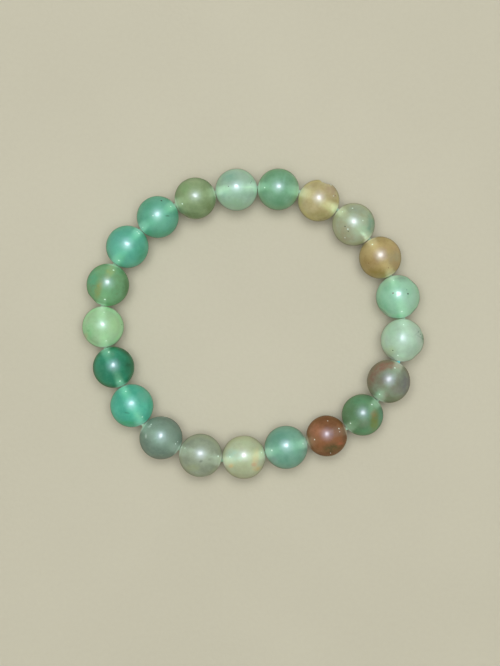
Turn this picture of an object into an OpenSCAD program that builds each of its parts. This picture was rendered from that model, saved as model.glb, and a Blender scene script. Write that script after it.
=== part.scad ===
// Stretch bracelet: twenty-one round polished stone beads threaded on a closed loop of elastic cord.
// It lies flat: +X runs along the longer side of its oval, +Y along the shorter one, +Z up.
// The origin is on the surface that it lies on, under the middle of the oval. Units are millimetres.

/* [Beads] */
// Usual diameter of a bead
bead_d = 8; // [6:0.5:12]
// Space between the surfaces of two neighbouring beads
bead_gap = 0.05; // [0.03:0.01:0.3]
// Diameter of the hole drilled through a bead
bore_d = 1; // [1:0.05:1.4]
// Diameter of the worn cone at each mouth of the hole
mouth_d = 1.4; // [1.4:0.05:1.8]
// Depth of that cone, measured from the point where the full sphere would end
mouth_depth = 0.25; // [0.15:0.05:0.5]

/* [Loop] */
// How much further the oval reaches along its length than a circle, and how much less across it
oval = 1.5; // [0:0.1:3]
// Angle from +X to the length of the oval
oval_turn = 5; // [-45:1:45]
// Angle from +X to the corner of the cord ahead of the first bead
first_angle = 106; // [90:0.5:120]

/* [Cord] */
// Diameter of the elastic cord
cord_d = 0.6; // [0.4:0.05:0.65]

/* [Chip] */
// Number of the chipped bead
chip_bead = 3; // [1:1:21]
// Angle of the chip from +X as seen from above
chip_heading = 69; // [0:1:90]
// Radius of the hollow where the flake came away, as seen from above
chip_scoop = 2; // [1:0.1:3]
// How much taller the hollow is than it is wide
chip_tall = 2.5; // [1:0.1:4]
// How far the hollow goes into the bead
chip_depth = 0.8; // [0.1:0.05:1]

/* [Hidden] */
$fn = 96;

// Columns of BEADS. OVER is the bead's diameter less the usual one. SWAY is how far the corner of the
// cord ahead of the bead lies outside the oval, or inside it where it is negative.
OVER = 0;
SWAY = 1;
COLOUR = 2;
// A row for each bead, clockwise from the top of the loop as seen from above
BEADS = [
    [ 0.0,  0.00, [0.55, 0.70, 0.60]],
    [-0.1,  0.00, [0.45, 0.65, 0.50]],
    [-0.1,  0.25, [0.65, 0.65, 0.45]],
    [ 0.1, -0.25, [0.60, 0.65, 0.55]],
    [ 0.0, -0.75, [0.65, 0.55, 0.35]],
    [ 0.3, -1.00, [0.55, 0.75, 0.65]],
    [ 0.2,  0.00, [0.65, 0.80, 0.65]],
    [ 0.2,  0.25, [0.50, 0.45, 0.35]],
    [-0.1,  0.00, [0.40, 0.55, 0.40]],
    [-0.2,  0.00, [0.55, 0.35, 0.25]],
    [ 0.2, -1.50, [0.45, 0.65, 0.55]],
    [ 0.2, -1.25, [0.70, 0.75, 0.60]],
    [ 0.2,  0.75, [0.55, 0.60, 0.50]],
    [ 0.2,  0.75, [0.45, 0.60, 0.50]],
    [ 0.2,  1.00, [0.35, 0.70, 0.55]],
    [-0.1, -1.00, [0.25, 0.50, 0.35]],
    [-0.1, -0.25, [0.60, 0.75, 0.55]],
    [ 0.1,  0.25, [0.45, 0.60, 0.40]],
    [ 0.1,  0.50, [0.35, 0.65, 0.55]],
    [ 0.0,  0.50, [0.40, 0.65, 0.55]],
    [-0.1,  0.50, [0.50, 0.60, 0.45]],
];
count = len(BEADS);
cord_colour = [0.55, 0.85, 0.76];
cord_height = bead_d / 2;
cord_sides = 12;

// Halvings after which an angle or a reach is found closely enough
halvings = 30;
widest_step = 60;
least_reach = 2 * bead_d;
most_reach = 5 * bead_d;

function diameter(i) = bead_d + BEADS[i][OVER];
function next(i) = (i + 1) % count;
function last(i) = (i + count - 1) % count;

// Place of corner i of the cord, at an angle round the loop
function spot(mean, angle, i) =
    (mean + oval * cos(2 * (angle - oval_turn)) + BEADS[i][SWAY]) * [cos(angle), sin(angle)];

// Angle round the loop from one corner to corner i, found by halving, for a side of a given length
function step(mean, angle, i, from, side, low = 0, high = widest_step, left = halvings) =
    left == 0 ? (low + high) / 2 :
    let (middle = (low + high) / 2)
    norm(spot(mean, angle - middle, i) - from) < side
        ? step(mean, angle, i, from, side, middle, high, left - 1)
        : step(mean, angle, i, from, side, low, middle, left - 1);

// Angles of all corners, ending with the angle at which the first one comes round again
function walk(mean, sides, i = 0, angle = first_angle, angles = []) =
    i == count ? concat(angles, [angle]) :
    let (turned = step(mean, angle, next(i), spot(mean, angle, i), sides[i]))
    walk(mean, sides, i + 1, angle - turned, concat(angles, [angle]));

// Mean reach at which the loop just closes, found by halving
function closing_reach(sides, low = least_reach, high = most_reach, left = halvings) =
    left == 0 ? (low + high) / 2 :
    let (middle = (low + high) / 2)
    first_angle - walk(middle, sides)[count] > 360
        ? closing_reach(sides, middle, high, left - 1)
        : closing_reach(sides, low, middle, left - 1);

// Corners of a closed cord whose sides have the given lengths
function closed_loop(sides) =
    let (mean = closing_reach(sides))
    let (angles = walk(mean, sides))
    [for (i = [0 : count - 1]) spot(mean, angles[i], i)];

// Direction of side i, and the clockwise turn from the side before corner i to the one after it
function heading(corners, i) =
    let (side = corners[next(i)] - corners[i])
    atan2(side[1], side[0]);
function turn(corners, i) =
    let (swing = heading(corners, last(i)) - heading(corners, i))
    swing < -180 ? swing + 360 : (swing > 180 ? swing - 360 : swing);

// Length of cord from a bead's middle to the corner at one of its ends. A bent corner needs more.
function half(i, bend) = (diameter(i) + bead_gap) / 2 / cos(bend / 2);

// The bends of a rough loop of plain lengths give the true lengths
rough = closed_loop([for (i = [0 : count - 1]) diameter(i) + bead_gap]);
ahead = [for (i = [0 : count - 1]) half(i, turn(rough, i))];
behind = [for (i = [0 : count - 1]) half(i, turn(rough, next(i)))];
drawn = closed_loop(ahead + behind);

function along(i, distance) = distance * [cos(heading(drawn, i)), sin(heading(drawn, i))];
middles = [for (i = [0 : count - 1]) drawn[i] + along(i, ahead[i])];

// The box round all beads is centred on the origin
function low_edge(axis) = min([for (i = [0 : count - 1]) middles[i][axis] - diameter(i) / 2]);
function high_edge(axis) = max([for (i = [0 : count - 1]) middles[i][axis] + diameter(i) / 2]);
box_middle = [for (axis = [0, 1]) (low_edge(axis) + high_edge(axis)) / 2];
bead_places = [for (i = [0 : count - 1]) concat(middles[i] - box_middle, diameter(i) / 2)];
cord_places = [for (i = [0 : count - 1]) concat(drawn[i] - box_middle, cord_height)];

// The drilled hole with a worn cone at each mouth, along Y
module bore(d) {
    rotate([-90, 0, 0]) {
        cylinder(d = bore_d, h = d + 1, center = true);
        for (end = [0, 1])
            mirror([0, 0, end])
                translate([0, 0, d / 2 - mouth_depth])
                    cylinder(d1 = bore_d, d2 = mouth_d, h = mouth_depth);
    }
}

// The shell-shaped hollow where a flake of the bead has broken away
module chip(d) {
    rotate([0, 0, chip_heading])
        translate([d / 2 + chip_scoop - chip_depth, 0, 0])
            scale([1, 1, chip_tall])
                sphere(r = chip_scoop);
}

// Bead number n, resting on the surface, with its hole along its side of the cord
module bead(n) {
    i = n - 1;
    d = diameter(i);
    color(BEADS[i][COLOUR])
        translate(bead_places[i])
            difference() {
                rotate([0, 0, heading(drawn, i) - 90])
                    difference() {
                        sphere(d = d);
                        bore(d);
                    }
                if (n == chip_bead) chip(d);
            }
}

// Ring of the cord's corners at corner i, in the plane that halves the bend there
function ring(i) =
    let (bend = turn(drawn, i))
    let (across = heading(drawn, i) + bend / 2 + 90)
    [for (k = [0 : cord_sides - 1])
        let (angle = 360 * k / cord_sides)
        let (out = cord_d / 2 * cos(angle) / cos(bend / 2))
        cord_places[i] + [out * cos(across), out * sin(across), cord_d / 2 * sin(angle)]];

// Sides of the cord between the rings at corner i and the next one, with four corners each
function side_faces(i) =
    [for (k = [0 : cord_sides - 1])
        let (m = (k + 1) % cord_sides)
        [i * cord_sides + k, next(i) * cord_sides + k, next(i) * cord_sides + m, i * cord_sides + m]];

// The closed cord: a straight run through each bead, bent in each space between two beads
module elastic_cord() {
    points = [for (i = [0 : count - 1]) each ring(i)];
    faces = [for (i = [0 : count - 1]) each side_faces(i)];
    color(cord_colour) polyhedron(points, faces);
}

bead(1);  // bead_01
bead(2);  // bead_02
bead(3);  // bead_03
bead(4);  // bead_04
bead(5);  // bead_05
bead(6);  // bead_06
bead(7);  // bead_07
bead(8);  // bead_08
bead(9);  // bead_09
bead(10);  // bead_10
bead(11);  // bead_11
bead(12);  // bead_12
bead(13);  // bead_13
bead(14);  // bead_14
bead(15);  // bead_15
bead(16);  // bead_16
bead(17);  // bead_17
bead(18);  // bead_18
bead(19);  // bead_19
bead(20);  // bead_20
bead(21);  // bead_21
elastic_cord();
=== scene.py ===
import math

import bmesh
import bpy
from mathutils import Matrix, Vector

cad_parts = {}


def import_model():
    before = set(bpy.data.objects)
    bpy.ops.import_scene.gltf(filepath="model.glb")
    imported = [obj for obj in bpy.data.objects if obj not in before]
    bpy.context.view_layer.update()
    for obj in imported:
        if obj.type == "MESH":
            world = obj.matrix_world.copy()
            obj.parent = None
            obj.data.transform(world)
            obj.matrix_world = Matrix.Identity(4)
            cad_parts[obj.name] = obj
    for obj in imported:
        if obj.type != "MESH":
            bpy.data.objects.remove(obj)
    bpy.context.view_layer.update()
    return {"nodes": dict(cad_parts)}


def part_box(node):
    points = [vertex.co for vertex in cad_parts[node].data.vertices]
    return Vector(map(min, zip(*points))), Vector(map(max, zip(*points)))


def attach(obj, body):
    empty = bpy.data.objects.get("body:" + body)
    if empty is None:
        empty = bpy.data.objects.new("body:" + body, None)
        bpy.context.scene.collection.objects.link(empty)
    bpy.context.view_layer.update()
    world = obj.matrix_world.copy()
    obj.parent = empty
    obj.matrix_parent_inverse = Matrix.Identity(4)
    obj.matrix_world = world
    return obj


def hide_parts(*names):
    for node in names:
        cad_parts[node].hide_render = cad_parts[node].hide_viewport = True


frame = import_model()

MM = 0.001
UP = Vector((0, 0, 1))

# The photograph's size in pixels, how large the bracelet shows in it and where its middle lies
PHOTO_WIDE = 500
PHOTO_HIGH = 666
MM_PER_PIXEL = 0.1905
LOOP_ACROSS = 253.0
LOOP_DOWN = 323.6

# Height of the beads' middles, how far above them the camera is, and its sensor, in millimetres
BEAD_MIDDLE = 4
CAMERA_RISE = 320
SENSOR_WIDE = 36
# Nearest distance that the camera shows, and half the width of the floor, in metres
CLIP_NEAR = 0.01
FLOOR_HALF = 0.8

# Shape of a bead, in millimetres, and how finely it is cut
BORE_R = 0.5
MOUTH_R = 0.66
MOUTH_DEPTH = 0.25
AROUND = 96
ALONG = 72
MOUTH_STEPS = 6
BORE_STEPS = 8

# The chipped bead is cut more finely, and its chip has the CAD's sizes: heading in degrees, radius of the
# hollow and its depth in millimetres, and how much taller it is than wide
FINE = 2
CHIPS = {3: (69, 2.0, 0.8, 2.5)}

# Slight flats on beads, as (heading from +X and lift in degrees, depth as a share of the radius)
FLATS = {
    6: [(226, 6, 0.048), (318, 10, 0.025), (48, 6, 0.042)],
    7: [(314, 6, 0.045), (236, 10, 0.03), (22, 4, 0.02)],
    11: [(40, 8, 0.02)],
    18: [(222, 6, 0.04)],
    21: [(238, 6, 0.03)],
}

# Shape of the cord, in millimetres. Its rounding starts at a distance of CORD_BEND from each corner.
CORD_R = 0.3
CORD_SIDES = 16
CORD_BEND = 0.4
BEND_STEPS = 5
# Number of the bead behind which the cord has a painted turquoise highlight
FLASH_AFTER = 7

# Stone: how it and its polish bend light, how much of a bead's clarity lets light straight through, how far
# light spreads below the skin, in millimetres and for each colour, and how fast it takes on the body colour
STONE_IOR = 1.54
COAT_IOR = 1.35
COAT_ROUGH = 0.1
CLEAR_SHARE = 0.7
SPREAD = 1.3
SPREAD_COLOURS = (0.8, 1.0, 0.85)
MURK = 350

# Cord: how much light spreads in it, and how far in millimetres
CORD_SPREAD_SHARE = 0.3
CORD_SPREAD = 0.2
# How strongly the cord and the card reflect
DULL_GLOSS = 0.2

# Depths of the polish waves and pits and of finer texture, in millimetres
WAVE_DEPTH = 0.003
PIT_DEPTH = 0.004
FINE_DEPTH = 0.02
CARD_DEPTH = 0.03

# Noise, as (scale, detail, roughness). The stone's scales are for each radius of its bead. The others, with
# MM in them, are for each metre.
CLOUD = (0.9, 3, 0.5)
GRAIN = (5.0, 4, 0.65)
WAVER = (2.6, 3, 0.6)
MOTTLE = (5.0, 2, 0.5)
SHEEN = (7.0, 3, 0.6)
WAVES = (3.2, 2, 0.5)
GRIND = (6 / MM, 3, 0.6)
STRANDS = (4 / MM, 3, 0.6)
CARD_GRAIN = (1.2 / MM, 4, 0.6)
CARD_CLOUD = (0.03 / MM, 2, 0.5)
PIT_SCALE = 9.0
# Steps by which the noise moves on from bead to bead, so that no two look alike
CLOUD_STEPS = (3.1, 1.7, 2.3)
POLISH_STEPS = (2.2, 3.7, 1.4)

# Fades, as (value at which something is full, value at which it is gone, how much there is at most). Where
# the last is left out, it is 1 or the bead's own. Distances are shares of the radius, or metres with MM.
PALE_CLOUD = (0.66, 0.42, 0.5)
DEEP_CLOUD = (0.34, 0.54, 0.5)
PALE_GRAIN = (0.66, 0.48, 0.3)
DEEP_GRAIN = (0.34, 0.50, 0.3)
RIM_SHADING_BAND = (0.35, 0.65, 0.85)
MOTTLE_FADE = (0.64, 0.36)
PATCH_FADE = (0.3, 1.4)
SPECK_FADE = (0.4, 1.1)
PIT_FADE = (0.0, 0.16)
HOLE_GLOW_FLARE = (1.0, 0.3, 0.11)
HOLE_GLOW_ACROSS = (0.7, 1.45)
HOLE_GLOW_ALONG = (0.95, 0.2)
BAR_ACROSS = (0.12, 0.26)
BAR_ALONG = (0.92, 0.6)
BORE_LIGHT = (0.2, 0.5, 0.85)
GLOW_RISE = (2.4 * MM, 0.5 * MM)
GLOW_END = (2.6 * MM, 3.6 * MM)
GLOW_HEART = (2.2 * MM, 3.3 * MM, 0.9)
WALL_DUSK = (3.7 * MM, 3.0 * MM)
GRIND_FADE = (0.3, 0.7, 0.25)
STRAND_FADE = (0.7, 0.35, 0.6)
FLASH_FADE = (0.6 * MM, 1.2 * MM)
CARD_GRAIN_FADE = (0.3, 0.7, 0.2)
CARD_CLOUD_FADE = (0.3, 0.7, 0.3)

# Painted glow round a hole, for the hole and cord seen through the stone: its half width, how much more the
# bar in it shows, and how its colour is lightened
HOLE_GLOW_WIDTH = 0.13
BAR_SHARE = 1.3
HOLE_GLOW_GAIN = 2
HOLE_GLOW_LIFT = 0.25
HOLE_GLOW_MINT = 0.2
HOLE_GLOW_MOST = 0.9

# Values that follow a noise or a fade, as (least, how much more at most)
MOTTLE_SHARE = (0.5, 0.5)
STONE_ROUGH = (0.25, 0.2)
WALL_ROUGH = (0.45, 0.3)
WALL_GLOW = (0.1, 0.4)
CORD_ROUGH = (0.4, 0.2)
CARD_ROUGH = (0.75, 0.1)

# Numbers of a mix node's sockets for colours
MIX_FIRST = 6
MIX_SECOND = 7
MIX_RESULT = 2

# Light: the even light from all round, and round lamps overhead as (name, lean towards +Y in degrees,
# distance, width, radiance, colour, whether it shows in reflections alone)
SKY_COLOUR = (1.0, 0.98, 0.94)
GROUND_COLOUR = (1.12, 1.0, 0.64)
# Heights on the sky, from -1 to 1, between which its colour changes
SKY_RISE = (-0.1, 0.5)
WORLD_RADIANCE = 0.25
HALO_COLOUR = (0.70, 0.80, 1.15)
LAMPS = [
    ("key", 5, 0.8, 0.7, 7.3, (1.0, 1.0, 1.03), False),
    ("spark", 14, 0.81, 0.27, 22, (0.96, 0.98, 1.04), True),
    ("halo_near", 14, 0.82, 0.5, 5.2, HALO_COLOUR, True),
    ("halo_mid", 14, 0.83, 0.95, 2.75, HALO_COLOUR, True),
    ("halo_far", 14, 0.84, 1.6, 1.75, HALO_COLOUR, True),
]

# Looks of the beads, with colours as a screen shows them, from 0 to 255. The rim colour is painted shading
# at the bead's widest, darker or lighter than the body, and the last column is how strong the painted glow
# round the hole is.
BODY, PALE, DEEP, RIM_SHADING, CLARITY, HOLE_GLOW = range(6)
LOOKS = {
    1: ((161, 195, 171), (176, 210, 186), (140, 172, 146), (175, 216, 182), 0.45, 0.26),
    2: ((118, 165, 131), (134, 180, 147), (100, 148, 114), (125, 172, 130), 0.35, 0.1),
    3: ((186, 176, 132), (196, 190, 142), (160, 146, 98), (202, 192, 128), 0.35, 0.2),
    4: ((162, 174, 143), (170, 190, 160), (150, 148, 116), (170, 179, 137), 0.35, 0.16),
    5: ((169, 149, 99), (182, 166, 116), (142, 120, 74), (172, 151, 96), 0.3, 0.12),
    6: ((152, 200, 168), (165, 210, 180), (130, 186, 150), (163, 217, 177), 0.4, 0.12),
    7: ((164, 191, 167), (174, 203, 178), (148, 174, 150), (178, 208, 176), 0.22, 0.05),
    8: ((127, 136, 113), (135, 158, 133), (116, 104, 84), (117, 119, 91), 0.3, 0.17),
    9: ((94, 134, 100), (112, 150, 110), (86, 112, 74), (85, 126, 85), 0.25, 0.17),
    10: ((120, 81, 50), (140, 98, 66), (98, 66, 40), (113, 72, 37), 0.15, 0.05),
    11: ((121, 171, 149), (134, 184, 158), (100, 152, 128), (118, 169, 142), 0.4, 0.21),
    12: ((182, 193, 159), (190, 204, 166), (166, 174, 134), (188, 195, 151), 0.4, 0.22),
    13: ((146, 158, 136), (160, 172, 148), (126, 136, 116), (149, 161, 131), 0.3, 0.12),
    14: ((110, 133, 117), (124, 146, 130), (94, 114, 101), (106, 127, 112), 0.15, 0.1),
    15: ((87, 183, 157), (101, 198, 168), (66, 162, 135), (80, 190, 154), 0.4, 0.15),
    16: ((51, 140, 108), (68, 152, 120), (36, 114, 86), (38, 112, 74), 0.35, 0.15),
    17: ((155, 194, 149), (166, 204, 160), (138, 178, 131), (167, 228, 167), 0.28, 0.13),
    18: ((105, 155, 112), (121, 166, 124), (111, 134, 89), (92, 149, 98), 0.22, 0.05),
    19: ((98, 178, 154), (111, 192, 163), (79, 160, 133), (94, 184, 147), 0.4, 0.18),
    20: ((103, 174, 147), (118, 188, 160), (84, 156, 128), (93, 177, 141), 0.4, 0.19),
    21: ((129, 151, 110), (144, 165, 124), (114, 135, 94), (115, 141, 99), 0.2, 0.1),
}
COUNT = len(LOOKS)
WALL_COLOUR = (200, 226, 200)
WALL_EDGE = (140, 172, 146)
MINT = (0.52, 0.8, 0.58)
CORD_COLOUR = (156, 190, 160)
CORD_PALE = (176, 206, 178)
# The cord's painted turquoise highlight
CORD_BRIGHT = (130, 235, 238)
FLOOR_COLOUR = (168, 164, 143)
FLOOR_SHADE = (161, 157, 136)

# Patches of another colour, as (middle across, middle up, half length, half width, turn of the length from
# +X in degrees, strength, colour). Places and sizes are shares of the bead's radius, as seen from above.
# Some patches are painted light, the glow of the hole and cord seen through the stone, some are painted
# shading, and many beads are darker along their lower edge.
PATCHES = {
    1: [(-0.35, 0.60, 0.45, 0.28, 0, 0.5, (125, 180, 160)),
        (0.25, 0.55, 0.35, 0.25, -10, 0.5, (165, 188, 168)),
        (0.0, -0.72, 0.60, 0.28, 0, 0.6, (155, 192, 150)),
        (-0.65, -0.25, 0.30, 0.15, 20, 0.4, (120, 180, 160)),
        # The next two patches are painted glow of the hole and cord seen through the stone.
        (-0.62, 0.0, 0.50, 0.16, 4, 0.6, (188, 226, 194)),
        (0.62, 0.05, 0.45, 0.06, 2, 0.6, (196, 232, 200))],
    2: [(0.28, 0.50, 0.38, 0.07, 80, 0.45, (132, 182, 152)),
        (0.70, -0.12, 0.30, 0.20, 0, 0.5, (126, 180, 146)),
        (-0.20, 0.75, 0.50, 0.20, 0, 0.4, (100, 152, 112)),
        (-0.60, 0.10, 0.30, 0.20, 0, 0.4, (122, 174, 142)),
        (0.0, -0.80, 0.50, 0.20, 0, 0.3, (95, 150, 110))],
    3: [(0.62, 0.45, 0.40, 0.36, -30, 0.85, (172, 150, 120)),
        # The next two patches are painted glow of the hole seen through the stone, widening towards its
        # mouth.
        (0.50, -0.36, 0.58, 0.26, -24, 0.7, (198, 200, 146)),
        (0.80, -0.50, 0.36, 0.30, -30, 0.85, (208, 218, 165)),
        (-0.65, 0.45, 0.30, 0.30, 0, 0.6, (192, 186, 140)),
        (-0.10, -0.75, 0.55, 0.25, 0, 0.6, (158, 150, 92)),
        (0.35, -0.88, 0.40, 0.12, 15, 0.6, (135, 112, 72))],
    4: [(-0.55, -0.30, 0.50, 0.35, -50, 0.6, (165, 152, 122)),
        (0.05, 0.65, 0.50, 0.25, 0, 0.5, (142, 164, 148)),
        (0.62, -0.40, 0.35, 0.25, -40, 0.6, (152, 198, 170)),
        (-0.25, -0.70, 0.40, 0.20, 0, 0.5, (160, 150, 120)),
        (0.82, 0.0, 0.60, 0.25, 90, 0.7, (112, 158, 135)),
        (-0.60, 0.60, 0.35, 0.25, 40, 0.7, (175, 188, 140)),
        (0.35, -0.35, 0.35, 0.20, -45, 0.5, (165, 190, 160)),
        # Painted glow of the hole, towards its mouth
        (0.50, -0.60, 0.30, 0.10, -42, 0.8, (205, 232, 205))],
    5: [(-0.45, 0.45, 0.40, 0.35, 0, 0.6, (188, 172, 122)),
        (0.60, -0.05, 0.40, 0.35, 90, 0.7, (152, 146, 116)),
        (0.52, 0.42, 0.20, 0.14, 0, 0.5, (178, 146, 112)),
        (0.65, -0.32, 0.20, 0.14, -20, 0.6, (166, 142, 96)),
        (-0.10, -0.75, 0.60, 0.25, 0, 0.7, (142, 126, 62)),
        (-0.75, -0.30, 0.30, 0.25, 90, 0.5, (150, 128, 78))],
    6: [(-0.80, -0.35, 0.50, 0.30, 90, 0.7, (118, 188, 142)),
        (0.55, -0.05, 0.50, 0.40, 90, 0.6, (168, 202, 178)),
        # Painted glow at a mouth of the hole
        (-0.28, 0.82, 0.20, 0.10, 90, 0.8, (190, 228, 205)),
        (0.12, 0.80, 0.30, 0.14, 0, 0.7, (130, 165, 145)),
        (0.10, -0.90, 0.40, 0.12, 0, 0.7, (105, 200, 140))],
    7: [(0.70, 0.25, 0.45, 0.30, 90, 0.7, (163, 178, 165)),
        (0.92, 0.10, 0.25, 0.10, 90, 0.6, (120, 150, 125)),
        (0.60, 0.32, 0.26, 0.04, 35, 0.5, (136, 164, 140)),
        (0.76, 0.14, 0.20, 0.035, -30, 0.5, (130, 158, 134)),
        (-0.65, -0.50, 0.35, 0.25, 30, 0.7, (168, 190, 144)),
        # The next two patches are painted glow at the mouths of the hole.
        (0.0, 0.78, 0.30, 0.22, 0, 0.4, (187, 218, 196)),
        (-0.10, -0.78, 0.34, 0.20, 0, 0.4, (178, 216, 182)),
        (-0.60, 0.40, 0.30, 0.30, 0, 0.5, (160, 200, 165))],
    8: [(0.02, 0.76, 0.55, 0.18, 2, 0.85, (148, 100, 82)),
        (-0.45, 0.62, 0.44, 0.22, 38, 0.9, (138, 102, 84)),
        (-0.80, 0.22, 0.48, 0.22, 75, 0.9, (128, 102, 84)),
        (0.72, -0.12, 0.62, 0.36, 90, 0.9, (108, 110, 108)),
        # Painted glow of the hole seen through the stone
        (0.10, 0.10, 0.60, 0.20, 55, 0.5, (134, 156, 136)),
        (0.35, -0.40, 0.30, 0.20, 0, 0.5, (132, 126, 118)),
        (0.05, -0.85, 0.60, 0.20, 0, 0.7, (108, 128, 92)),
        # Painted glow at a mouth of the hole
        (-0.50, -0.64, 0.36, 0.20, 52, 0.7, (132, 184, 146))],
    9: [(0.85, 0.0, 0.55, 0.20, 90, 0.7, (84, 138, 112)),
        (-0.20, 0.75, 0.50, 0.20, 0, 0.6, (92, 150, 112)),
        (0.0, -0.33, 0.35, 0.22, 0, 0.6, (122, 132, 110)),
        (0.0, -0.82, 0.60, 0.18, 0, 0.6, (84, 142, 98)),
        (0.46, 0.15, 0.16, 0.12, 60, 0.8, (142, 124, 98)),
        (0.53, -0.12, 0.42, 0.22, 88, 0.8, (126, 124, 70)),
        (0.50, 0.02, 0.12, 0.10, 60, 0.6, (144, 116, 74)),
        (0.52, -0.46, 0.30, 0.22, 70, 0.8, (112, 128, 62))],
    10: [(-0.60, 0.35, 0.40, 0.35, 0, 0.6, (162, 112, 86)),
         (0.40, 0.25, 0.30, 0.25, 0, 0.7, (124, 104, 92)),
         (0.25, -0.55, 0.50, 0.28, 10, 0.85, (80, 78, 46)),
         (0.60, -0.20, 0.30, 0.20, 0, 0.5, (134, 86, 58)),
         (0.62, -0.35, 0.22, 0.07, 5, 0.8, (152, 88, 62)),
         (0.85, 0.10, 0.40, 0.15, 90, 0.6, (96, 72, 52)),
         (-0.10, -0.85, 0.60, 0.12, 0, 0.6, (92, 62, 38))],
    # The next two patches are painted glow of the hole seen through the stone.
    11: [(0.50, 0.30, 0.50, 0.22, 20, 0.6, (132, 182, 156)),
         (-0.60, -0.10, 0.45, 0.20, 20, 0.5, (126, 180, 152)),
         (-0.65, -0.50, 0.25, 0.20, 0, 0.6, (132, 160, 152)),
         (0.30, -0.50, 0.30, 0.22, -60, 0.6, (134, 178, 156)),
         (-0.30, 0.60, 0.50, 0.25, 0, 0.5, (98, 155, 135)),
         (0.60, -0.60, 0.30, 0.20, -40, 0.5, (96, 150, 128))],
    12: [(0.55, 0.0, 0.50, 0.16, 85, 0.8, (210, 192, 142)),
         (0.47, -0.30, 0.12, 0.10, 0, 0.8, (202, 160, 124)),
         (0.60, -0.50, 0.20, 0.12, 20, 0.7, (212, 188, 122)),
         (-0.50, 0.12, 0.42, 0.34, 0, 0.75, (172, 206, 190)),
         (-0.60, -0.33, 0.16, 0.10, 20, 0.8, (212, 188, 128)),
         (0.0, -0.85, 0.70, 0.14, 0, 0.6, (160, 168, 132))],
    # The next two patches are painted glow of the hole seen through the stone.
    13: [(-0.50, 0.35, 0.50, 0.14, -20, 0.6, (168, 184, 162)),
         (0.55, 0.05, 0.45, 0.14, -18, 0.5, (168, 184, 162)),
         (0.03, -0.20, 0.10, 0.06, 0, 0.8, (108, 114, 100)),
         (0.50, -0.12, 0.12, 0.08, 0, 0.6, (122, 130, 112)),
         (-0.35, -0.50, 0.35, 0.20, 0, 0.6, (152, 160, 118))],
    # The next three patches are painted shading: a lighter middle and darker sides.
    14: [(-0.05, 0.10, 0.50, 0.45, 0, 0.6, (142, 172, 152)),
         (0.87, 0.0, 0.60, 0.15, 90, 0.6, (96, 122, 108)),
         (-0.87, -0.10, 0.60, 0.15, 90, 0.6, (100, 124, 110)),
         (-0.10, -0.90, 0.60, 0.12, 0, 0.4, (114, 108, 98)),
         (-0.66, 0.12, 0.10, 0.06, 90, 0.7, (180, 195, 180)),
         (-0.50, 0.58, 0.12, 0.06, 40, 0.7, (185, 200, 185))],
    15: [(0.60, 0.45, 0.35, 0.35, 0, 0.7, (112, 176, 152)),
         # The next two patches are painted glow of the hole seen through the stone.
         (-0.20, 0.70, 0.35, 0.20, -60, 0.6, (125, 198, 165)),
         (0.40, -0.50, 0.40, 0.18, -55, 0.7, (128, 200, 165)),
         (-0.10, -0.82, 0.60, 0.18, 0, 0.7, (72, 170, 116)),
         (-0.17, -0.29, 0.14, 0.04, -15, 0.85, (52, 105, 86))],
    # The next two patches are painted glow of the hole seen through the stone.
    16: [(-0.10, 0.65, 0.25, 0.20, 0, 0.7, (98, 150, 122)),
         (0.30, -0.45, 0.50, 0.20, -60, 0.7, (98, 155, 125)),
         (0.75, 0.0, 0.40, 0.20, 90, 0.7, (42, 108, 74)),
         # Painted glow of the hole, towards its mouth
         (0.35, -0.75, 0.25, 0.15, -60, 0.7, (112, 188, 145)),
         (-0.60, -0.20, 0.40, 0.30, 90, 0.5, (66, 132, 98)),
         (0.75, 0.10, 0.15, 0.12, 0, 0.6, (35, 90, 62))],
    17: [(0.0, 0.60, 0.40, 0.20, 90, 0.5, (172, 212, 172)),
         (-0.65, -0.25, 0.40, 0.30, 90, 0.7, (128, 190, 134)),
         (-0.63, -0.18, 0.08, 0.06, 0, 0.6, (96, 160, 108)),
         (0.60, 0.10, 0.45, 0.35, 90, 0.6, (168, 206, 152)),
         (-0.80, -0.45, 0.20, 0.12, 60, 0.4, (190, 160, 120)),
         (0.20, -0.60, 0.30, 0.30, 0, 0.5, (162, 208, 158))],
    18: [(0.16, 0.62, 0.38, 0.22, 70, 0.85, (146, 160, 100)),
         (-0.36, -0.24, 0.46, 0.17, 78, 1.0, (142, 148, 84)),
         (-0.62, -0.05, 0.08, 0.06, 0, 0.6, (120, 96, 60)),
         (0.87, -0.20, 0.50, 0.15, 90, 0.7, (78, 116, 72)),
         (-0.10, -0.60, 0.40, 0.25, 0, 0.35, (122, 176, 122)),
         (-0.70, 0.30, 0.45, 0.34, 90, 0.75, (84, 158, 124))],
    # The next two patches are painted glow of the hole seen through the stone.
    19: [(-0.35, -0.62, 0.45, 0.26, 52, 0.8, (112, 190, 152)),
         (0.50, 0.50, 0.40, 0.16, 52, 0.6, (108, 186, 150)),
         (0.70, -0.40, 0.40, 0.30, 90, 0.6, (76, 160, 120)),
         (-0.55, 0.35, 0.40, 0.35, 0, 0.5, (92, 164, 146))],
    20: [(-0.50, 0.60, 0.40, 0.30, 30, 0.6, (84, 154, 124)),
         (0.10, -0.35, 0.50, 0.30, 0, 0.5, (118, 186, 155)),
         # Painted glow at a mouth of the hole
         (0.60, 0.40, 0.30, 0.25, 0, 0.6, (122, 186, 152)),
         (0.50, 0.0, 0.10, 0.05, -10, 0.85, (60, 105, 82)),
         (0.0, -0.80, 0.60, 0.18, 0, 0.5, (92, 168, 125))],
    # The next three patches are painted shading: a lighter middle and a darker lower right and bottom.
    21: [(0.0, 0.10, 0.45, 0.40, 0, 0.6, (152, 172, 130)),
         (0.70, -0.50, 0.30, 0.30, -45, 0.7, (104, 124, 80)),
         (-0.10, -0.85, 0.60, 0.15, 0, 0.7, (98, 120, 78)),
         (-0.55, 0.50, 0.35, 0.30, 0, 0.5, (120, 155, 105))],
}
# How deep patches go into the stone, as a share of the radius, how far their outlines waver, and the noise
# colour that leaves an outline where it is
PATCH_DEEP = 0.9
PATCH_WAVER = 0.16
MIDDLE_GREY = (0.5, 0.5, 0.5)
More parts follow.
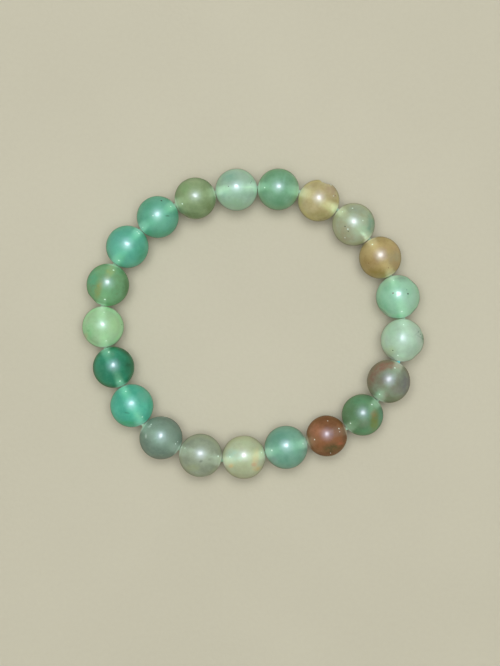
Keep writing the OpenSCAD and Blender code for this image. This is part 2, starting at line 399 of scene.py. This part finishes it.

# Small inclusions and chips, and pale glints that are painted highlights, as (across, up, reach, colour),
# in the same shares
PAINTED_GLINT = (226, 245, 232)
DARK = (52, 66, 50)
RUST = (120, 82, 52)
SPECKS = {
    1: [(-0.37, 0.08, 0.03, DARK), (0.68, 0.26, 0.03, DARK), (0.72, 0.33, 0.025, DARK)],
    2: [(-0.67, 0.02, 0.04, PAINTED_GLINT)],
    3: [(0.78, 0.19, 0.035, RUST), (0.68, 0.17, 0.035, PAINTED_GLINT), (0.16, 0.86, 0.05, PAINTED_GLINT),
        (0.58, 0.72, 0.05, PAINTED_GLINT)],
    4: [(-0.09, 0.71, 0.045, PAINTED_GLINT), (-0.32, -0.28, 0.05, PAINTED_GLINT), (0.38, 0.12, 0.035, PAINTED_GLINT),
        (-0.44, -0.66, 0.04, PAINTED_GLINT), (-0.56, 0.55, 0.04, PAINTED_GLINT), (-0.45, -0.15, 0.04, DARK),
        (-0.30, -0.38, 0.03, DARK), (0.60, -0.74, 0.05, PAINTED_GLINT)],
    5: [(-0.42, 0.59, 0.045, PAINTED_GLINT), (0.33, -0.52, 0.035, RUST), (-0.60, -0.30, 0.03, RUST)],
    6: [(-0.30, 0.15, 0.045, RUST), (0.38, 0.12, 0.05, DARK), (0.33, 0.30, 0.025, DARK),
        (0.12, -0.68, 0.05, PAINTED_GLINT), (-0.25, 0.74, 0.04, PAINTED_GLINT)],
    7: [(-0.50, -0.47, 0.04, DARK), (0.93, 0.06, 0.05, DARK), (0.80, 0.28, 0.035, DARK),
        (0.70, 0.38, 0.03, DARK), (-0.26, -0.70, 0.05, PAINTED_GLINT), (0.0, 0.72, 0.04, PAINTED_GLINT)],
    8: [(0.23, 0.64, 0.045, PAINTED_GLINT), (-0.47, -0.58, 0.05, PAINTED_GLINT)],
    9: [(0.40, 0.53, 0.045, PAINTED_GLINT), (-0.62, -0.37, 0.045, PAINTED_GLINT)],
    10: [(0.56, 0.40, 0.04, PAINTED_GLINT), (0.60, 0.25, 0.025, PAINTED_GLINT), (-0.62, -0.13, 0.035, PAINTED_GLINT),
         (0.02, 0.77, 0.03, PAINTED_GLINT), (0.16, -0.80, 0.03, PAINTED_GLINT)],
    11: [(0.77, 0.21, 0.05, PAINTED_GLINT), (-0.67, -0.09, 0.05, PAINTED_GLINT)],
    12: [(-0.64, 0.07, 0.045, PAINTED_GLINT), (0.82, 0.25, 0.05, PAINTED_GLINT)],
    13: [(-0.86, 0.40, 0.07, PAINTED_GLINT), (0.83, 0.0, 0.06, PAINTED_GLINT), (-0.70, 0.38, 0.04, PAINTED_GLINT)],
    14: [(0.71, -0.24, 0.03, PAINTED_GLINT), (0.80, -0.15, 0.025, PAINTED_GLINT), (-0.42, 0.66, 0.035, PAINTED_GLINT)],
    15: [(-0.23, 0.69, 0.04, PAINTED_GLINT), (0.53, -0.49, 0.04, PAINTED_GLINT)],
    16: [(-0.18, 0.74, 0.05, PAINTED_GLINT), (0.36, -0.65, 0.05, PAINTED_GLINT)],
    17: [(0.11, 0.70, 0.035, PAINTED_GLINT), (0.21, -0.67, 0.04, PAINTED_GLINT), (0.93, 0.10, 0.03, DARK)],
    18: [(0.32, 0.67, 0.05, PAINTED_GLINT), (-0.08, -0.70, 0.05, PAINTED_GLINT)],
    19: [(0.58, 0.60, 0.05, PAINTED_GLINT), (0.50, 0.68, 0.04, PAINTED_GLINT), (-0.35, -0.67, 0.05, PAINTED_GLINT)],
    20: [(0.65, 0.46, 0.045, PAINTED_GLINT), (-0.68, -0.53, 0.04, PAINTED_GLINT), (-0.17, 0.0, 0.03, PAINTED_GLINT),
         (0.21, 0.73, 0.06, DARK)],
    21: [(-0.60, -0.32, 0.045, PAINTED_GLINT)],
}


def bead_name(n):
    return f"bead_{n:02d}"


def before(n):
    return (n - 2) % COUNT + 1


def after(n):
    return n % COUNT + 1


def bead_place(n):
    """Middle and radius of bead n, in metres."""
    low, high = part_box(bead_name(n))
    return (low + high) / 2, (high - low).z / 2


PLACES = {n: bead_place(n) for n in LOOKS}


def cord_corner(n):
    """The corner of the cord ahead of bead n: the middle of its points within a millimetre of that gap.

    Points are rounded to a tenth of a micrometre, so that one that is there twice counts once.
    """
    gap = (PLACES[n][0] + PLACES[before(n)][0]) / 2
    points = {tuple(round(x, 7) for x in v.co) for v in frame["nodes"]["elastic_cord"].data.vertices}
    ring = [Vector(p) for p in points if (Vector(p) - gap).length < MM]
    return sum(ring, Vector()) / len(ring)


CORNERS = {n: cord_corner(n) for n in LOOKS}


def bore_way(n):
    """Direction of the hole through bead n."""
    return (CORNERS[after(n)] - CORNERS[n]).normalized()


def curve_points(start, bend, end, steps):
    """Points on the curve from start to end that bend pulls aside, without start itself."""
    points = []
    for i in range(1, steps + 1):
        t = i / steps
        points.append(start * (1 - t) ** 2 + bend * 2 * t * (1 - t) + end * t ** 2)
    return points


def bead_profile(r, steps):
    """Outside and hole of a drilled bead, as points (distance from the hole's axis, place along it)."""
    corner = math.asin(MOUTH_R * MM / r)
    outside = []
    for i in range(steps + 1):
        angle = corner + (math.pi - 2 * corner) * i / steps
        outside.append(Vector((r * math.sin(angle), r * math.cos(angle))))
    start = outside[-1]
    bore = BORE_R * MM
    bend = Vector((bore, start.y - (start.x - bore) * math.tan(corner)))
    end = Vector((bore, start.y + MOUTH_DEPTH * MM))
    mouth = curve_points(start, bend, end, MOUTH_STEPS)
    middle = [Vector((bore, end.y * (1 - 2 * i / BORE_STEPS))) for i in range(1, BORE_STEPS)]
    far_mouth = [Vector((p.x, -p.y)) for p in reversed(mouth)]
    return outside, mouth + middle + far_mouth


def circle(place, way, reach, count):
    """Points of a circle about a place, square to a level way."""
    side = UP.cross(way)
    turns = [2 * math.pi * k / count for k in range(count)]
    return [place + (side * math.cos(a) + UP * math.sin(a)) * reach for a in turns]


def join_rings(mesh, rings, inside_from=None):
    """Closes a row of rings of points into one tube that ends where it starts.

    Faces from ring inside_from on have the piece's second material.
    """
    for i, ring in enumerate(rings):
        other = rings[(i + 1) % len(rings)]
        for k in range(len(ring)):
            m = (k + 1) % len(ring)
            face = mesh.faces.new((ring[k], other[k], other[m], ring[m]))
            face.smooth = True
            if inside_from is not None and i >= inside_from:
                face.material_index = 1
    bmesh.ops.recalc_face_normals(mesh, faces=mesh.faces)


def new_piece(name, mesh, materials):
    """An object made of a mesh and its materials, in the scene."""
    data = bpy.data.meshes.new(name)
    mesh.to_mesh(data)
    mesh.free()
    for material in materials:
        data.materials.append(material)
    piece = bpy.data.objects.new(name, data)
    bpy.context.scene.collection.objects.link(piece)
    return piece


def facing(heading, lift):
    """Direction at an angle from +X seen from above, and at another above the horizontal."""
    level = math.cos(math.radians(lift))
    turn = math.radians(heading)
    return Vector((level * math.cos(turn), level * math.sin(turn), math.sin(math.radians(lift))))


def cut_flat(point, direction, reach):
    """The point, drawn in so that it goes no further than reach in a direction."""
    far = point.dot(direction)
    return point * (reach / far) if far > reach else point


def cut_chip(point, middle, size, tall):
    """The point, drawn in so that it stays out of a ball stretched upwards."""
    squashed = Vector((point.x, point.y, point.z / tall))
    if (squashed - middle).length >= size:
        return point
    near = squashed.dot(middle)
    root = near ** 2 - squashed.length_squared * (middle.length_squared - size ** 2)
    return point * ((near - math.sqrt(root)) / squashed.length_squared)


def worn(n, point):
    """A point of bead n's outside with the bead's flats and chip cut in."""
    r = PLACES[n][1]
    for heading, lift, depth in FLATS.get(n, []):
        point = cut_flat(point, facing(heading, lift), r * (1 - depth))
    if n in CHIPS:
        heading, scoop, depth, tall = CHIPS[n]
        point = cut_chip(point, facing(heading, 0) * (r + (scoop - depth) * MM), scoop * MM, tall)
    return point


def make_bead(n, materials):
    """The drilled stone that stands for the CAD's bead n."""
    middle, r = PLACES[n]
    finer = FINE if n in CHIPS else 1
    outside, inside = bead_profile(r, finer * ALONG)
    way = bore_way(n)
    mesh = bmesh.new()
    rings = []
    for x, y in outside + inside:
        points = circle(way * y, way, x, finer * AROUND)
        rings.append([mesh.verts.new(worn(n, p) if x > MOUTH_R * MM else p) for p in points])
    join_rings(mesh, rings, len(outside) - 1)
    piece = new_piece(f"stone_{n:02d}", mesh, materials)
    piece.location = middle
    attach(piece, "root")
    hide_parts(bead_name(n))


def cord_route():
    """Points along the cord, rounded at its corners, each with the direction there."""
    route = []
    for n in LOOKS:
        back, ahead = bore_way(before(n)), bore_way(n)
        start = CORNERS[n] - back * CORD_BEND * MM
        end = CORNERS[n] + ahead * CORD_BEND * MM
        route.append((start, back))
        for i, point in enumerate(curve_points(start, CORNERS[n], end, BEND_STEPS)):
            route.append((point, back.lerp(ahead, (i + 1) / BEND_STEPS).normalized()))
    return route


def make_cord(material):
    """The cord with rounded bends that stands for the CAD's."""
    mesh = bmesh.new()
    rings = []
    for place, way in cord_route():
        rings.append([mesh.verts.new(p) for p in circle(place, way, CORD_R * MM, CORD_SIDES)])
    join_rings(mesh, rings)
    piece = new_piece("elastic", mesh, [material])
    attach(piece, "root")
    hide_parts("elastic_cord")


def linear(colour):
    """A screen colour, from 0 to 255, as the linear one that Blender works with, by the sRGB curve."""
    parts = [c / 255 for c in colour]
    return (*[p / 12.92 if p < 0.04045 else ((p + 0.055) / 1.055) ** 2.4 for p in parts], 1)


class Nodes:
    """Short ways to add nodes to a material and join them."""

    def __init__(self, name):
        self.material = bpy.data.materials.new(name)
        self.material.use_nodes = True
        self.tree = self.material.node_tree
        self.shader = self.tree.nodes["Principled BSDF"]

    def feed(self, socket, value):
        if isinstance(value, bpy.types.NodeSocket):
            self.tree.links.new(value, socket)
        else:
            socket.default_value = value

    def add(self, kind, settings=None, **inputs):
        node = self.tree.nodes.new(kind)
        for key, value in (settings or {}).items():
            setattr(node, key, value)
        for key, value in inputs.items():
            self.feed(node.inputs[key.replace("_", " ")], value)
        return node

    def set(self, **inputs):
        for key, value in inputs.items():
            self.feed(self.shader.inputs[key.replace("_", " ")], value)

    def own_place(self):
        """Places in the piece's own axes, in metres."""
        return self.add("ShaderNodeTexCoord").outputs["Object"]

    def vector(self, operation, *values):
        node = self.add("ShaderNodeVectorMath", {"operation": operation})
        for i, value in enumerate(values):
            self.feed(node.inputs[i], value)
        return node.outputs["Value" if operation in ("LENGTH", "DISTANCE", "DOT_PRODUCT") else "Vector"]

    def scaled(self, vector, factor):
        node = self.add("ShaderNodeVectorMath", {"operation": "SCALE"}, Scale=factor)
        self.feed(node.inputs[0], vector)
        return node.outputs["Vector"]

    def number(self, operation, *values):
        node = self.add("ShaderNodeMath", {"operation": operation})
        for i, value in enumerate(values):
            self.feed(node.inputs[i], value)
        return node.outputs[0]

    def spread(self, value, least, more):
        """A value from 0 to 1, spread from least to as much as more above it."""
        return self.number("MULTIPLY_ADD", value, more, least)

    def fade(self, value, full, none, most=1.0):
        """A share that is most where the value is at full and 0 where it is at none, smooth between."""
        node = self.add("ShaderNodeMapRange", {"interpolation_type": "SMOOTHSTEP"},
                        Value=value, From_Min=none, From_Max=full, To_Min=0.0, To_Max=most)
        return node.outputs["Result"]

    def mix(self, share, first, second):
        node = self.add("ShaderNodeMix", {"data_type": "RGBA"})
        self.feed(node.inputs["Factor"], share)
        self.feed(node.inputs[MIX_FIRST], first)
        self.feed(node.inputs[MIX_SECOND], second)
        return node.outputs[MIX_RESULT]

    def noise(self, vector, scale, detail, rough, output="Fac"):
        node = self.add("ShaderNodeTexNoise", Vector=vector, Scale=scale, Detail=detail, Roughness=rough)
        return node.outputs[output]

    def bump(self, height, distance=1.0):
        node = self.add("ShaderNodeBump", Strength=1.0, Distance=distance, Height=height)
        return node.outputs["Normal"]


def on_top(across, up):
    """The point of a unit ball's upper half that shows at this place from above."""
    return (across, up, math.sqrt(max(0.0, 1 - across ** 2 - up ** 2)))


def moved_on(m, n, place, steps):
    """The place, moved on by n steps."""
    return m.vector("ADD", place, tuple(n * step for step in steps))


def add_clouds(m, n, place):
    """Soft clouds of the bead's three colours, with a finer grain in them."""
    body, pale, deep = [linear(LOOKS[n][column]) for column in (BODY, PALE, DEEP)]
    shifted = moved_on(m, n, place, CLOUD_STEPS)
    cloud = m.noise(shifted, *CLOUD)
    grain = m.noise(shifted, *GRAIN)
    colour = m.mix(m.fade(cloud, *PALE_CLOUD), body, pale)
    colour = m.mix(m.fade(cloud, *DEEP_CLOUD), colour, deep)
    colour = m.mix(m.fade(grain, *PALE_GRAIN), colour, pale)
    return m.mix(m.fade(grain, *DEEP_GRAIN), colour, deep)


def add_rim_shading(m, n, place, colour):
    """The band at the bead's widest, painted towards the rim colour: painted shading, darker on some beads
    and lighter on others.
    """
    height = m.number("ABSOLUTE", m.vector("DOT_PRODUCT", place, tuple(UP)))
    return m.mix(m.fade(height, *RIM_SHADING_BAND), colour, linear(LOOKS[n][RIM_SHADING]))


def add_patches(m, n, place, colour):
    """The bead's own patches, some of them painted glow or painted shading, mottled and with wavering
    outlines.
    """
    shift = m.vector("SUBTRACT", m.noise(place, *WAVER, "Color"), MIDDLE_GREY)
    wavy = m.vector("ADD", place, m.scaled(shift, PATCH_WAVER))
    mottle = m.spread(m.fade(m.noise(place, *MOTTLE), *MOTTLE_FADE), *MOTTLE_SHARE)
    for across, up, long, wide, turn, strength, tint in PATCHES[n]:
        near = m.add("ShaderNodeMapping", {"vector_type": "TEXTURE"}, Vector=wavy,
                     Location=on_top(across, up), Rotation=(0, 0, math.radians(turn)),
                     Scale=(long, wide, PATCH_DEEP))
        reach = m.vector("LENGTH", near.outputs["Vector"])
        share = m.number("MULTIPLY", mottle, m.fade(reach, *PATCH_FADE, strength))
        colour = m.mix(share, colour, linear(tint))
    return colour


def hole_glow_colour(n):
    """The colour of the painted glow: the body colour of bead n, lightened and turned a little towards
    mint.
    """
    light = [(HOLE_GLOW_GAIN * part + HOLE_GLOW_LIFT) * (1 - HOLE_GLOW_MINT) + mint * HOLE_GLOW_MINT
             for part, mint in zip(linear(LOOKS[n][BODY]), MINT)]
    return (*[part * min(1, HOLE_GLOW_MOST / max(light)) for part in light], 1)


def add_hole_glows(m, n, place, colour):
    """Painted light of the bead's own hue round the drilled hole, for the hole and cord seen through the
    stone, which widens towards its mouths.
    """
    light, hole_glow = hole_glow_colour(n), LOOKS[n][HOLE_GLOW]
    way = bore_way(n)
    along = m.number("ABSOLUTE", m.vector("DOT_PRODUCT", place, tuple(way)))
    across = m.number("ABSOLUTE", m.vector("DOT_PRODUCT", place, tuple(UP.cross(way))))
    width = m.number("ADD", m.fade(along, *HOLE_GLOW_FLARE), HOLE_GLOW_WIDTH)
    inside = m.fade(m.number("DIVIDE", across, width), *HOLE_GLOW_ACROSS)
    share = m.number("MULTIPLY", inside, m.fade(along, *HOLE_GLOW_ALONG, hole_glow))
    colour = m.mix(share, colour, light)
    bar = m.number("MULTIPLY", m.fade(across, *BAR_ACROSS), m.fade(along, *BAR_ALONG, BAR_SHARE * hole_glow))
    colour = m.mix(bar, colour, light)
    # Painted light round the mouths, which lifts the shade where two beads meet
    from_axis = m.vector("LENGTH", m.vector("CROSS_PRODUCT", place, tuple(way)))
    return m.mix(m.fade(from_axis, *BORE_LIGHT), colour, light)


def add_specks(m, n, place, colour):
    """The bead's own small inclusions and chips, and its glints, which are painted highlights."""
    full, none = SPECK_FADE
    for across, up, reach, tint in SPECKS[n]:
        away = m.vector("DISTANCE", place, on_top(across, up))
        colour = m.mix(m.fade(away, reach * full, reach * none), colour, linear(tint))
    return colour


def polish_bump(m, n, place):
    """The slight waves that polishing leaves on a small bead, with fine pits."""
    shifted = moved_on(m, n, place, POLISH_STEPS)
    waves = m.number("MULTIPLY", m.noise(shifted, *WAVES), WAVE_DEPTH * MM)
    pits = m.add("ShaderNodeTexVoronoi", Vector=shifted, Scale=PIT_SCALE).outputs["Distance"]
    return m.bump(m.number("SUBTRACT", waves, m.fade(pits, *PIT_FADE, PIT_DEPTH * MM)))


def stone_material(n):
    """Polished, cloudy and partly clear stone of bead n."""
    body, clarity = LOOKS[n][BODY], LOOKS[n][CLARITY]
    m = Nodes(f"stone_{n:02d}")
    place = m.scaled(m.own_place(), 1 / PLACES[n][1])
    colour = add_clouds(m, n, place)
    colour = add_rim_shading(m, n, place, colour)
    colour = add_patches(m, n, place, colour)
    colour = add_hole_glows(m, n, place, colour)
    colour = add_specks(m, n, place, colour)
    rough = m.spread(m.noise(place, *SHEEN), *STONE_ROUGH)
    polish = polish_bump(m, n, place)
    m.set(Base_Color=colour, Roughness=rough, IOR=STONE_IOR, Transmission_Weight=clarity * CLEAR_SHARE,
          Subsurface_Weight=1.0, Subsurface_Radius=SPREAD_COLOURS, Subsurface_Scale=SPREAD * MM,
          Specular_IOR_Level=0.0, Coat_Weight=1.0, Coat_Roughness=COAT_ROUGH, Coat_IOR=COAT_IOR,
          Normal=polish, Coat_Normal=polish)
    murk = m.add("ShaderNodeVolumeAbsorption", Color=linear(body), Density=MURK)
    m.feed(m.tree.nodes["Material Output"].inputs["Volume"], murk.outputs[0])
    return m.material


def wall_material():
    """The ground wall of a drilled hole. Its glow stands for the light that the stone lets in."""
    m = Nodes("drilled_wall")
    place = m.own_place()
    reach = m.vector("LENGTH", place)
    grind = m.noise(place, *GRIND)
    glow = m.spread(m.fade(reach, *GLOW_RISE), *WALL_GLOW)
    glow = m.number("MULTIPLY", glow, m.fade(reach, *GLOW_END))
    glow = m.number("ADD", glow, m.fade(reach, *GLOW_HEART))
    dusk = m.mix(m.fade(reach, *WALL_DUSK), linear(WALL_COLOUR), linear(WALL_EDGE))
    colour = m.mix(m.fade(grind, *GRIND_FADE), dusk, linear(WALL_EDGE))
    m.set(Base_Color=colour, Roughness=m.spread(grind, *WALL_ROUGH), Emission_Color=linear(WALL_COLOUR),
          Emission_Strength=glow, Normal=m.bump(grind, FINE_DEPTH * MM))
    return m.material


def cord_material():
    """Pale mint elastic of fine strands, with a painted turquoise highlight in one space between two beads.
    """
    m = Nodes("elastic")
    place = m.own_place()
    strands = m.noise(place, *STRANDS)
    colour = m.mix(m.fade(strands, *STRAND_FADE), linear(CORD_COLOUR), linear(CORD_PALE))
    away = m.vector("DISTANCE", place, tuple(CORNERS[after(FLASH_AFTER)]))
    colour = m.mix(m.fade(away, *FLASH_FADE), colour, linear(CORD_BRIGHT))
    m.set(Base_Color=colour, Roughness=m.spread(strands, *CORD_ROUGH), Specular_IOR_Level=DULL_GLOSS,
          Subsurface_Weight=CORD_SPREAD_SHARE, Subsurface_Radius=(1, 1, 1),
          Subsurface_Scale=CORD_SPREAD * MM, Normal=m.bump(strands, FINE_DEPTH * MM))
    return m.material


def floor_material():
    """Plain pale card with a faint grain."""
    m = Nodes("floor")
    place = m.own_place()
    grain = m.noise(place, *CARD_GRAIN)
    cloud = m.noise(place, *CARD_CLOUD)
    shade = m.number("ADD", m.fade(grain, *CARD_GRAIN_FADE), m.fade(cloud, *CARD_CLOUD_FADE))
    m.set(Base_Color=m.mix(shade, linear(FLOOR_COLOUR), linear(FLOOR_SHADE)),
          Roughness=m.spread(grain, *CARD_ROUGH), Specular_IOR_Level=DULL_GLOSS,
          Normal=m.bump(grain, CARD_DEPTH * MM))
    return m.material


def make_floor():
    """A flat floor that the beads don't reflect."""
    mesh = bmesh.new()
    bmesh.ops.create_grid(mesh, x_segments=1, y_segments=1, size=FLOOR_HALF)
    floor = new_piece("floor", mesh, [floor_material()])
    floor.visible_glossy = False


def aim(item, target):
    item.rotation_euler = (Vector(target) - item.location).to_track_quat("-Z", "Y").to_euler()


def make_world(sky, ground, strength):
    """An even studio that is paler overhead and warmer from the horizon down."""
    world = bpy.data.worlds.new("studio")
    bpy.context.scene.world = world
    world.use_nodes = True
    nodes, links = world.node_tree.nodes, world.node_tree.links
    back = nodes["Background"]
    split = nodes.new("ShaderNodeSeparateXYZ")
    rise = nodes.new("ShaderNodeMapRange")
    blend = nodes.new("ShaderNodeMix")
    blend.data_type = "RGBA"
    rise.inputs["From Min"].default_value = SKY_RISE[0]
    rise.inputs["From Max"].default_value = SKY_RISE[1]
    blend.inputs[MIX_FIRST].default_value = (*ground, 1)
    blend.inputs[MIX_SECOND].default_value = (*sky, 1)
    back.inputs["Strength"].default_value = strength
    links.new(nodes.new("ShaderNodeTexCoord").outputs["Generated"], split.inputs[0])
    links.new(split.outputs["Z"], rise.inputs["Value"])
    links.new(rise.outputs["Result"], blend.inputs["Factor"])
    links.new(blend.outputs[MIX_RESULT], back.inputs["Color"])


def make_light(name, lean, distance, size, radiance, colour, gloss):
    """A round lamp overhead that leans towards +Y, with a face of a given radiance.

    With gloss it shows in reflections alone, and without it in everything but reflections.
    """
    light = bpy.data.lights.new(name, "AREA")
    light.shape = "DISK"
    light.size = size
    light.energy = radiance * math.pi ** 2 * size ** 2 / 4
    light.color = colour
    lamp = bpy.data.objects.new(name, light)
    lamp.location = (0, distance * math.sin(math.radians(lean)), distance * math.cos(math.radians(lean)))
    lamp.visible_glossy = gloss
    lamp.visible_diffuse = not gloss
    lamp.visible_transmission = not gloss
    bpy.context.scene.collection.objects.link(lamp)
    aim(lamp, (0, 0, 0))


def make_camera():
    """A camera straight overhead, which frames the bracelet as the photograph does."""
    camera = bpy.data.cameras.new("camera")
    camera.sensor_width = SENSOR_WIDE
    camera.lens = camera.sensor_width * CAMERA_RISE / (PHOTO_HIGH * MM_PER_PIXEL)
    camera.clip_start = CLIP_NEAR
    holder = bpy.data.objects.new("camera", camera)
    holder.location = ((PHOTO_WIDE / 2 - LOOP_ACROSS) * MM_PER_PIXEL * MM,
                       (LOOP_DOWN - PHOTO_HIGH / 2) * MM_PER_PIXEL * MM,
                       (CAMERA_RISE + BEAD_MIDDLE) * MM)
    bpy.context.scene.collection.objects.link(holder)
    bpy.context.scene.camera = holder


wall = wall_material()
for n in LOOKS:
    make_bead(n, [stone_material(n), wall])
make_cord(cord_material())
make_floor()
make_world(SKY_COLOUR, GROUND_COLOUR, WORLD_RADIANCE)
for lamp in LAMPS:
    make_light(*lamp)
make_camera()
bpy.context.scene.view_settings.view_transform = "Standard"
